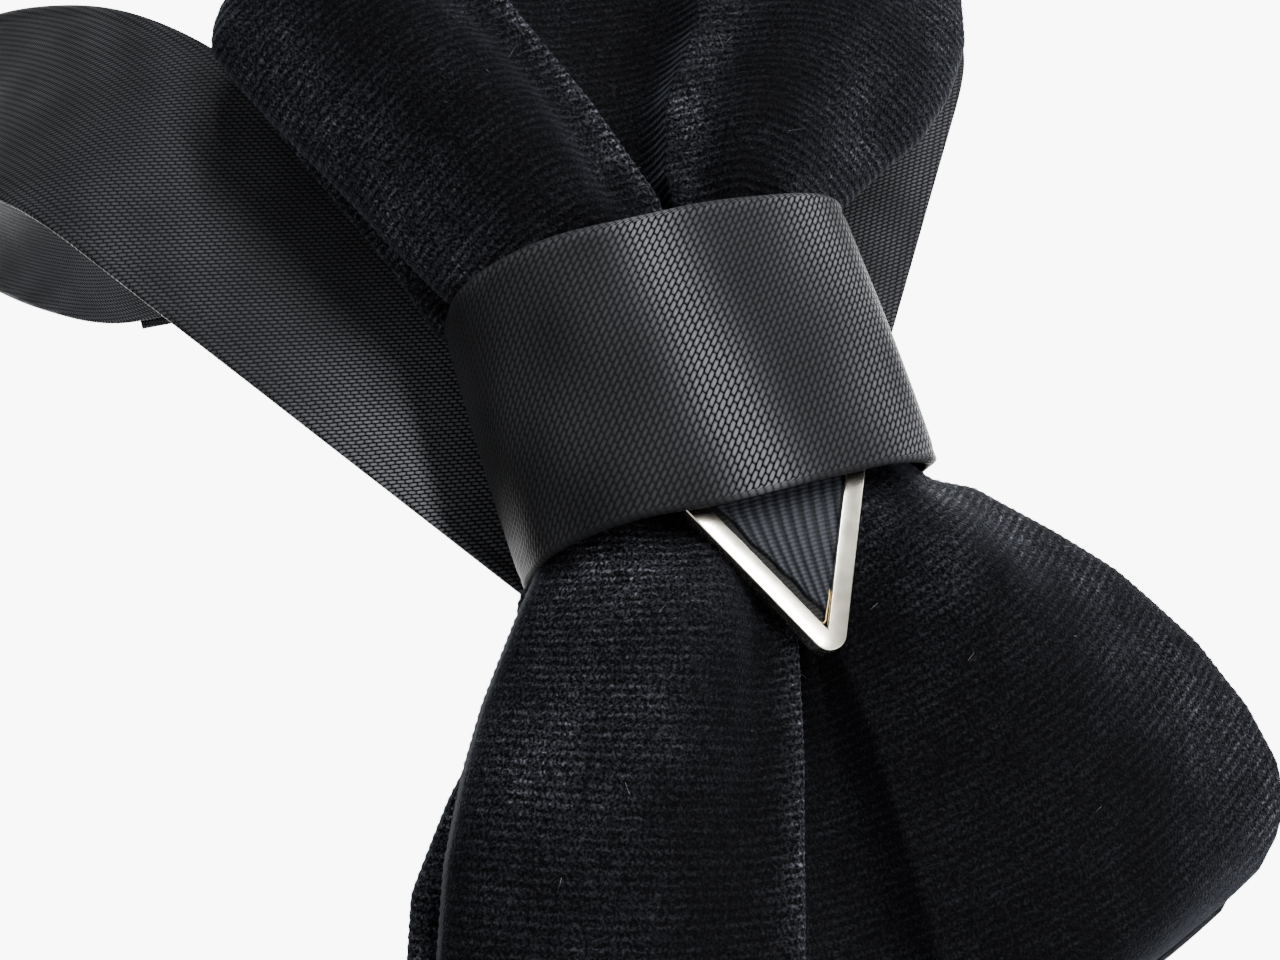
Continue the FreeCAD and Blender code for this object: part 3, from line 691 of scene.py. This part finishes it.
# ---------------------------------------------------------------- tail
def tail_ribbon():
    """The ribbon's pointed flap and the root that runs up behind the knot, as one sheet."""
    cords = 15
    piece, u, v, order = new_grid("tail_ribbon_cloth", cords * 12, 110)
    point_z = RIBBON_LOW[2]
    top_z = RIBBON_HIGH[2]
    root_z = min(ROOT_HIGH[2], top_z + 8.0)
    half = (RIBBON_HIGH[0] - RIBBON_LOW[0]) / 2
    middle = (RIBBON_LOW[0] + RIBBON_HIGH[0]) / 2
    flap_share = 0.75
    z = np.where(v < flap_share, point_z + (top_z - point_z) * v / flap_share,
                 top_z + (root_z - top_z) * (v - flap_share) / (1 - flap_share))
    width = half * np.clip((z - point_z) / (top_z - point_z), 0.03, 1)
    c = -1 + 2 * u
    x = middle + c * width
    front_y = RIBBON_LOW[1]
    belly = 0.20 * (1 - np.abs(c) ** 3)
    # cords run down the ribbon, drawn together and bowed a little towards the point
    down = np.clip((top_z - z) / (top_z - point_z), 0, 1)
    lane = (x - middle) / (half * (1 - 0.62 * down ** 1.3)) + 0.10 * np.sin(math.pi * down) * (1 - c ** 2)
    phase = np.abs(np.sin(math.pi * cords / 2 * lane))
    cord = 0.17 * phase ** 0.7
    from_left = (c + 1) * width
    gap_width = 1.90 + 0.28 * waves(z / 5.0, z * 0, 61, low=0.8, high=3.0)
    gap = (1 - smooth((from_left - gap_width) / 0.12)) * (z < top_z + 1.0)
    y = front_y + 0.30 - (belly + cord) * (1 - gap) + 0.15 * gap
    points = np.stack([x, y, z], axis=2)
    uv = np.stack([lane * half, z], axis=2)
    place(piece, order, points, uv)
    # painted light: the cords' crests painted brighter, with painted shade between the cords and in the
    # sunken gap along the left edge
    paint(piece, order, "painted_shine", np.clip((0.25 + 0.75 * phase ** 1.5) * (1 - gap), 0, 1))
    activate(piece)
    solid = piece.modifiers.new("thickness", "SOLIDIFY")
    solid.thickness = 0.55 * MM
    solid.offset = -1.0
    apply_modifiers(piece)
    close_up(piece, 0.001, fill=False)
    dress(piece, GROSGRAIN, None)
    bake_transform(piece)
    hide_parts("tail_ribbon", "tail_ribbon_backing", "tail_ribbon_root")
    return piece


def tip_rim():
    """A thin bright bead round the inside edge of the tip's left arm and point."""
    low, high = TIP_LOW, TIP_HIGH
    middle = (low[0] + high[0]) / 2
    half = (high[0] - low[0]) / 2
    lean, band, rounding = 0.46, 1.68, 1.5
    for _ in range(8):
        sharp_end = low[2] - rounding * (1 / math.sin(lean) - 1)
        lean = math.atan2(half, high[2] - sharp_end)
    point = np.array([middle, RIBBON_LOW[1] - 0.02, sharp_end + band / math.sin(lean)])
    top = high[2] - 6.5
    reach = (top - point[2]) * math.tan(lean)
    ends = [np.array([middle - reach, point[1], top]), point + [-0.42, 0, 0.80], point + [-0.16, 0, 0.42],
            point + [0.10, 0, 0.40], point + [0.34, 0, 0.68], point + [1.5, 0, 1.5 / math.tan(lean)]]
    steps = 90
    fine = np.linspace(0, len(ends) - 1, steps)
    path = np.stack([np.interp(fine, range(len(ends)), [e[i] for e in ends]) for i in range(3)], axis=1)
    path[:, 0] += 0.05 * waves(fine / 2.0, fine * 0, 71, low=1.0, high=3.0)
    piece, u, _, order = new_grid("tail_tip_inner_rim", 10, steps - 1)
    tangent = np.gradient(path, axis=0)
    tangent /= np.linalg.norm(tangent, axis=1, keepdims=True)
    side = np.cross(tangent, [0, 1, 0])
    from_end = np.minimum(np.arange(steps), np.arange(steps)[::-1])
    radius = 0.09 * np.sqrt(np.clip(from_end / 3.0, 0.02, 1))
    turn = 2 * math.pi * u
    points = path[:, None, :] + radius[:, None, None] * (np.cos(turn)[..., None] * side[:, None, :]
                                                         + np.sin(turn)[..., None] * np.array([0, 1, 0]))
    points[:, -1] = points[:, 0]
    place(piece, order, points)
    close_up(piece, 0.0005)
    dress(piece, RIM_METAL, "tail_flap")
    return piece


def refined(node, name, material, body, width, segments=3):
    """A CAD node's shape with its edges rounded over."""
    source = frame["nodes"][node]
    deselect()
    piece = source.copy()
    piece.data = source.data.copy()
    bpy.context.scene.collection.objects.link(piece)
    piece.parent = None
    piece.matrix_world = source.matrix_world
    piece.name = name
    piece.data.name = name
    activate(piece)
    bpy.ops.object.transform_apply(location=True, rotation=True, scale=True)
    bpy.ops.object.mode_set(mode="EDIT")
    bpy.ops.mesh.select_all(action="SELECT")
    bpy.ops.mesh.remove_doubles(threshold=0.002 * MM)
    bpy.ops.mesh.dissolve_limited(angle_limit=math.radians(1.0))
    bpy.ops.mesh.select_all(action="SELECT")
    bpy.ops.mesh.normals_make_consistent(inside=False)
    bpy.ops.object.mode_set(mode="OBJECT")
    bevel = piece.modifiers.new("rounded", "BEVEL")
    bevel.width = width * MM
    bevel.segments = segments
    bevel.limit_method = "ANGLE"
    bevel.angle_limit = math.radians(30)
    bevel.use_clamp_overlap = True
    bevel.harden_normals = False
    apply_modifiers(piece)
    bpy.ops.object.shade_smooth_by_angle(angle=math.radians(35))
    dress(piece, material, body)
    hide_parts(node)
    return piece


# ---------------------------------------------------------------- neck strap
def clamped_spline(points, first, last, samples):
    """A cubic spline through points, with given end directions, by chord length."""
    points = np.array(points, float)
    lengths = np.linalg.norm(np.diff(points, axis=0), axis=1)
    t = np.concatenate([[0], np.cumsum(lengths)])
    n = len(points)
    matrix = np.zeros((n, n))
    right = np.zeros((n, 3))
    matrix[0, 0] = matrix[-1, -1] = 1
    right[0], right[-1] = first, last
    for i in range(1, n - 1):
        a, b = lengths[i - 1], lengths[i]
        matrix[i, i - 1:i + 2] = b, 2 * (a + b), a
        right[i] = 3 * (b * (points[i] - points[i - 1]) / a + a * (points[i + 1] - points[i]) / b)
    slope = np.linalg.solve(matrix, right)
    out = []
    for i in range(n - 1):
        steps = max(2, round(samples * lengths[i] / t[-1]))
        h = np.linspace(0, 1, steps, endpoint=i == n - 2)[:, None]
        d = lengths[i]
        out.append((2 * h ** 3 - 3 * h ** 2 + 1) * points[i] + (h ** 3 - 2 * h ** 2 + h) * d * slope[i]
                   + (-2 * h ** 3 + 3 * h ** 2) * points[i + 1] + (h ** 3 - h ** 2) * d * slope[i + 1])
    return np.concatenate(out)


STRAP_SLOPE = math.radians(36.0)
STRAP_CROSSING = -12.0
STRAP_TUCK = 13.0
STRAP_FLAT_RUN = 60.0
STRAP_WIDTH = 24.0
NAPE_WIDTH = 20.0
NECK_HALF_WIDTH = 56.0
NECK_DEPTH = 104.0
NAPE_HEIGHT = 80.0
BAR_RADIUS = 0.9
LOOP_INNER = BAR_RADIUS + 0.05


def strap(name, side, y, bar_x, return_length, seed):
    """A flat folded strap: flat on the shirt, twisted round the neck, folded round its clasp bar."""
    nape_x = bar_x + side * return_length
    along = np.array([side * math.sin(STRAP_SLOPE), 0, math.cos(STRAP_SLOPE)])
    across = np.array([along[2] * side, 0, -along[0] * side])
    crossing = np.array([0, y, STRAP_CROSSING])
    start = crossing + along * STRAP_FLAT_RUN
    flat = np.linspace(crossing - along * STRAP_TUCK, start, 60, endpoint=False)
    bend = clamped_spline([
        start,
        [side * NECK_HALF_WIDTH * 0.87, NECK_DEPTH * 0.14, NAPE_HEIGHT * 0.71],
        [side * NECK_HALF_WIDTH, NECK_DEPTH * 0.42, NAPE_HEIGHT * 0.88],
        [side * NECK_HALF_WIDTH * 0.95, NECK_DEPTH * 0.70, NAPE_HEIGHT * 0.97],
        [nape_x + side * (NECK_HALF_WIDTH * 0.88 - abs(nape_x)) * 0.72, NECK_DEPTH * 0.915, NAPE_HEIGHT],
        [nape_x, NECK_DEPTH, NAPE_HEIGHT]], along, [-side, 0, 0], 150)
    clasp_y = NECK_DEPTH + STRAP_THICKNESS / 2 + LOOP_INNER
    radius = LOOP_INNER + STRAP_THICKNESS / 2
    run = np.linspace([nape_x, NECK_DEPTH, NAPE_HEIGHT], [bar_x, NECK_DEPTH, NAPE_HEIGHT], 24)[1:-1]
    turn = np.linspace(-math.pi / 2, math.pi / 2, 15)[:, None]
    fold = np.concatenate([bar_x - side * radius * np.cos(turn), clasp_y + radius * np.sin(turn),
                           np.full_like(turn, NAPE_HEIGHT)], axis=1)
    back = np.linspace(fold[-1], fold[-1] + np.array([side * return_length, 0, 0]), 24)[1:]
    path = np.concatenate([flat, bend, run, fold, back])
    step = np.linalg.norm(np.diff(path, axis=0), axis=1)
    length = np.concatenate([[0], np.cumsum(step)])
    tangent = np.gradient(path, axis=0)
    tangent /= np.linalg.norm(tangent, axis=1, keepdims=True)
    bend_share = np.clip((np.arange(len(path)) - len(flat)) / (len(bend) - 1), 0, 1)
    untwisted = ((1 - bend_share) ** 1.5)[:, None]
    turned = untwisted * across + (1 - untwisted) * np.array([0, 0, -1])
    wide = turned - tangent * (turned * tangent).sum(axis=1, keepdims=True)
    wide /= np.linalg.norm(wide, axis=1, keepdims=True)
    through = np.cross(tangent, wide)
    half_width = STRAP_WIDTH / 2 + (NAPE_WIDTH - STRAP_WIDTH) / 2 * bend_share
    piece, u, _, order = new_grid(name, 72, len(path) - 1)
    angle = 2 * math.pi * u[0]
    flatness = 0.12
    ring_w = np.sign(np.cos(angle)) * np.abs(np.cos(angle)) ** 0.35
    ring_t = np.sign(np.sin(angle)) * np.abs(np.sin(angle)) ** flatness
    edge_room = 1 - np.abs(ring_w)
    w = half_width[:, None] * ring_w[None, :]
    from_edge = half_width[:, None] * edge_room[None, :]
    seam = 0.16 * np.exp(-((from_edge - 1.5) / 0.35) ** 2)
    rim = np.sqrt(np.clip(from_edge / 0.6, 0, 1))
    half_t = (STRAP_THICKNESS / 2 - 0.06) * (0.55 + 0.45 * rim) - seam
    ripple = 0.05 * waves(length[:, None] / 40, w / 30, seed)
    t = ring_t[None, :] * half_t + ripple
    points = path[:, None, :] + wide[:, None, :] * w[..., None] + through[:, None, :] * t[..., None]
    points[:, -1] = points[:, 0]
    shape = points.shape[:2]
    uv = np.stack([np.broadcast_to(w, shape), np.broadcast_to(length[:, None], shape)], axis=2)
    place(piece, order, points, uv)
    # painted sheen along the strap, brightest about 40 mm along it; the mottle is random tone
    painted_sheen = 0.45 + 0.35 * bell(length, 40, 16) + 0.25 * waves(length / 70, length * 0, seed + 3)
    mottle = 1 + 0.2 * waves(length[:, None] / 18, w / 14, seed + 4)
    paint(piece, order, "painted_shine", np.clip(np.broadcast_to(painted_sheen[:, None], shape) * mottle, 0.05, 1))
    close_up(piece)
    dress(piece, STRAP_SATIN, "bow")
    return piece


def neck_straps():
    hinge = {"left": HINGE["hook_pivot"][0], "right": HINGE["eye_pivot"][0]}
    stack = {"right": PATCH_LOW[1] - 0.3 - STRAP_THICKNESS / 2}
    stack["left"] = stack["right"] - STRAP_THICKNESS - 0.3
    left = strap("neck_strap_left_cloth", -1, stack["left"], hinge["left"], 11.0, 41)
    right = strap("neck_strap_right_cloth", 1, stack["right"], hinge["right"], 30.0, 42)
    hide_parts("neck_strap_left")
    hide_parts("neck_strap_right")
    return left, right


# ---------------------------------------------------------------- back patch and stitches
def rounded_pad(name, low, high, corner, material, body="bow"):
    """A thin pad with rounded corners and soft edges."""
    deselect()
    centre, size = (low + high) / 2, high - low
    bpy.ops.mesh.primitive_cube_add(size=1, location=tuple(centre * MM), scale=tuple(size * MM))
    piece = bpy.context.object
    piece.name = name
    piece.data.name = name
    bpy.ops.object.transform_apply(location=True, rotation=True, scale=True)
    bpy.ops.object.mode_set(mode="EDIT")
    bpy.ops.mesh.select_all(action="DESELECT")
    bpy.ops.object.mode_set(mode="OBJECT")
    for edge in piece.data.edges:
        a, b = (piece.data.vertices[i].co for i in edge.vertices)
        edge.select = abs((a - b).normalized().y) > 0.9
    bpy.ops.object.mode_set(mode="EDIT")
    bpy.ops.mesh.select_mode(type="EDGE")
    bpy.ops.mesh.bevel(offset=corner * MM, segments=6, affect="EDGES")
    bpy.ops.object.mode_set(mode="OBJECT")
    bevel = piece.modifiers.new("soft edge", "BEVEL")
    bevel.width = min(size) * 0.35 * MM
    bevel.segments = 3
    bevel.limit_method = "ANGLE"
    bevel.angle_limit = math.radians(50)
    apply_modifiers(piece)
    bpy.ops.object.shade_smooth_by_angle(angle=math.radians(40))
    flat_uv(piece)
    layer = piece.data.attributes.new("painted_shine", "FLOAT", "POINT")
    layer.data.foreach_set("value", np.full(len(piece.data.vertices), 0.4, dtype=np.float32))
    dress(piece, material, body)
    return piece


def flat_uv(piece):
    """A UV map in millimetres, looking along Y."""
    co = np.empty(len(piece.data.vertices) * 3)
    piece.data.vertices.foreach_get("co", co)
    co = co.reshape(-1, 3) / MM
    loops = np.empty(len(piece.data.loops), dtype=int)
    piece.data.loops.foreach_get("vertex_index", loops)
    layer = piece.data.uv_layers.active or piece.data.uv_layers.new(name="cloth")
    layer.data.foreach_set("uv", co[loops][:, [0, 2]].ravel())


def stitch_row(name, start, end, count, length, radius, body="bow"):
    """Short stitches along a line, each a fat capsule lying in the cloth."""
    start, end = np.array(start, float), np.array(end, float)
    direction = (end - start) / np.linalg.norm(end - start)
    made = []
    for i in range(count):
        centre = start + (end - start) * (i + 0.5) / count
        deselect()
        bpy.ops.mesh.primitive_uv_sphere_add(segments=8, ring_count=6, radius=radius * MM,
                                             location=tuple(centre * MM))
        bead = bpy.context.object
        bead.rotation_mode = "QUATERNION"
        bead.rotation_quaternion = Vector(direction).to_track_quat("Z", "Y")
        bead.scale = (1, 1, length / 2 / radius)
        bpy.ops.object.transform_apply(location=True, rotation=True, scale=True)
        made.append(bead)
    deselect()
    for bead in made:
        bead.select_set(True)
    bpy.context.view_layer.objects.active = made[0]
    bpy.ops.object.join()
    row = bpy.context.object
    row.name = name
    row.data.name = name
    bpy.ops.object.shade_smooth()
    dress(row, THREAD, body)
    return row


def back_of_the_knot():
    patch = rounded_pad("back_patch_cloth", PATCH_LOW, PATCH_HIGH, 2.0, STRAP_SATIN)
    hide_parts("back_patch")
    inset = 1.6
    x, z = PATCH_HIGH[0] - inset, PATCH_HIGH[2] - inset
    y = PATCH_HIGH[1] - 0.06
    corners = [(-x, y, -z), (x, y, -z), (x, y, z), (-x, y, z)]
    for number, (a, b) in enumerate(zip(corners, corners[1:] + corners[:1])):
        stitch_row(f"patch_edge_stitches_{number + 1}", a, b, 11, 1.7, 0.16)


# ---------------------------------------------------------------- pile fibres
def fibres(name, source, count, length, radius, lean, seed):
    """Loose pile ends standing on a velvet piece: thin three-sided needles."""
    draw = np.random.default_rng(seed)
    mesh = source.data
    co = np.empty(len(mesh.vertices) * 3)
    normal = np.empty(len(mesh.vertices) * 3)
    mesh.vertices.foreach_get("co", co)
    mesh.vertices.foreach_get("normal", normal)
    co, normal = co.reshape(-1, 3), normal.reshape(-1, 3)
    shown = np.flatnonzero(np.abs(co[:, 2]) > KNOT_HIGH[2] * MM + 0.001)
    chosen = draw.choice(shown, count, replace=False)
    root = co[chosen] - normal[chosen] * 0.05 * MM
    grow = normal[chosen] + draw.normal(0, lean, (count, 3))
    grow /= np.linalg.norm(grow, axis=1, keepdims=True)
    tall = draw.uniform(0.45, 1.0, count)[:, None] * length * MM
    side_a = np.cross(grow, draw.normal(0, 1, (count, 3)))
    side_a /= np.linalg.norm(side_a, axis=1, keepdims=True)
    side_b = np.cross(grow, side_a)
    r = radius * MM
    corners = [root + r * (math.cos(t) * side_a + math.sin(t) * side_b) for t in (0, 2.094, 4.189)]
    vertices = np.stack([*corners, root + grow * tall], axis=1).reshape(-1, 3)
    first = np.arange(count)[:, None] * 4
    faces = np.concatenate([first + np.array(f) for f in ([0, 1, 3], [1, 2, 3], [2, 0, 3], [0, 2, 1])])
    data = bpy.data.meshes.new(name)
    data.from_pydata(vertices.tolist(), [], faces.tolist())
    data.update()
    piece = bpy.data.objects.new(name, data)
    bpy.context.scene.collection.objects.link(piece)
    # each fibre takes the painted pile sheen of the vertex it stands on
    painted_shine = np.empty(len(mesh.vertices), dtype=np.float32)
    mesh.attributes["painted_pile_sheen"].data.foreach_get("value", painted_shine)
    layer = data.attributes.new("painted_pile_sheen", "FLOAT", "POINT")
    layer.data.foreach_set("value", np.repeat(painted_shine[chosen], 4))
    activate(piece)
    bpy.ops.object.mode_set(mode="EDIT")
    bpy.ops.mesh.select_all(action="SELECT")
    bpy.ops.mesh.normals_make_consistent(inside=False)
    bpy.ops.object.mode_set(mode="OBJECT")
    return piece


def lint(fronts):
    """A few stray pale hairs caught on the pile."""
    for wing in fronts:
        hairs = fibres(wing.name + "_lint", wing, 45, 1.9, 0.010, 2.2, 77)
        dress(hairs, LINT, "bow")


def pile(fronts, backs):
    for wing in fronts:
        fuzz = fibres(wing.name + "_pile", wing, 45000, 0.50, 0.016, 0.65, 51)
        dress(fuzz, PILE, "bow")
    for wing in backs:
        fuzz = fibres(wing.name + "_pile", wing, 16000, 0.50, 0.016, 0.65, 52)
        dress(fuzz, PILE, "bow")


# ---------------------------------------------------------------- the rest of the frame
def dress_nodes():
    plain = {
        "waist_binding": THREAD, "patch_stitches": THREAD, "strap_bartack": THREAD,
    }
    for node, material in plain.items():
        data = frame["nodes"][node].data
        data.materials.clear()
        data.materials.append(material)


# ---------------------------------------------------------------- stage
def light(name, place_mm, aim_mm, size_mm, power):
    data = bpy.data.lights.new(name, "AREA")
    data.shape = "RECTANGLE"
    data.size, data.size_y = size_mm[0] * MM, size_mm[1] * MM
    data.energy = power
    lamp = bpy.data.objects.new(name, data)
    bpy.context.scene.collection.objects.link(lamp)
    lamp.location = Vector(place_mm) * MM
    lamp.rotation_euler = (Vector(aim_mm) - Vector(place_mm)).to_track_quat("-Z", "Y").to_euler()
    return lamp


def studio_world():
    """Soft white surroundings with a bright panel far behind the bow."""
    world = bpy.data.worlds.new("studio")
    bpy.context.scene.world = world
    world.use_nodes = True
    nodes, links = world.node_tree.nodes, world.node_tree.links
    where = nodes.new("ShaderNodeTexCoord")
    dot = nodes.new("ShaderNodeVectorMath")
    dot.operation = "DOT_PRODUCT"
    links.new(where.outputs["Generated"], dot.inputs[0])
    dot.inputs[1].default_value = tuple(Vector((0.316, 0.914, 0.257)).normalized())
    spread = nodes.new("ShaderNodeMapRange")
    spread.interpolation_type = "SMOOTHSTEP"
    for socket, value in (("From Min", 0.72), ("From Max", 0.90), ("To Min", 0.34), ("To Max", 9.0)):
        spread.inputs[socket].default_value = value
    links.new(dot.outputs["Value"], spread.inputs["Value"])
    links.new(spread.outputs[0], nodes["Background"].inputs["Strength"])
    nodes["Background"].inputs["Color"].default_value = (1, 1, 1, 1)


def stage():
    studio_world()
    deselect()
    bpy.ops.mesh.primitive_circle_add(vertices=96, radius=2.5, fill_type="NGON", location=(0, 0, -0.30))
    floor = bpy.context.object
    floor.name = "floor"
    material, _, _, shader = new_material("pale_floor")
    shader.inputs["Base Color"].default_value = (0.9, 0.9, 0.9, 1)
    shader.inputs["Roughness"].default_value = 0.7
    floor.data.materials.append(material)
    light("strip", (80, -490, 160), (0, -20, 0), (50, 420), 5.0)
    light("right_fill", (420, -320, 220), (0, -20, 0), (160, 320), 2.0)


def camera():
    """Looks up from below and left of the knot, leaning so that the bow's top tips to the left."""
    azimuth, elevation, lean = (math.radians(a) for a in (-19.1, -14.9, 18.5))
    distance, aim = 165.6, Vector((-1.0, 0, -1.9))
    back = Vector((math.sin(azimuth) * math.cos(elevation), -math.cos(azimuth) * math.cos(elevation),
                   math.sin(elevation)))
    right = Vector((math.cos(azimuth), math.sin(azimuth), 0))
    up = back.cross(right)
    tipped_right = right * math.cos(lean) - up * math.sin(lean)
    tipped_up = right * math.sin(lean) + up * math.cos(lean)
    data = bpy.data.cameras.new("camera")
    data.lens = 50
    data.sensor_width = 36
    data.clip_start, data.clip_end = 0.005, 20
    eye = bpy.data.objects.new("camera", data)
    bpy.context.scene.collection.objects.link(eye)
    turn = Matrix((tipped_right, tipped_up, back)).transposed()
    eye.rotation_mode = "QUATERNION"
    eye.rotation_quaternion = turn.to_quaternion()
    eye.location = (aim + back * distance) * MM
    bpy.context.scene.camera = eye


FRONTS, BACKS = velvet_bows()
knot()
knot_wad()
tail_ribbon()
refined("tail_tip", "tail_tip_metal", TIP_METAL, "tail_flap", 0.10)
tip_rim()
neck_straps()
back_of_the_knot()
refined("clasp_hook", "clasp_hook_metal", CLASP_METAL, "hook", 0.22)
refined("clasp_eye", "clasp_eye_metal", CLASP_METAL, "eye", 0.22)
refined("adjuster_slider", "adjuster_slider_metal", CLASP_METAL, "slider", 0.12)
pile(FRONTS, BACKS)
lint(FRONTS)
dress_nodes()
stage()
camera()
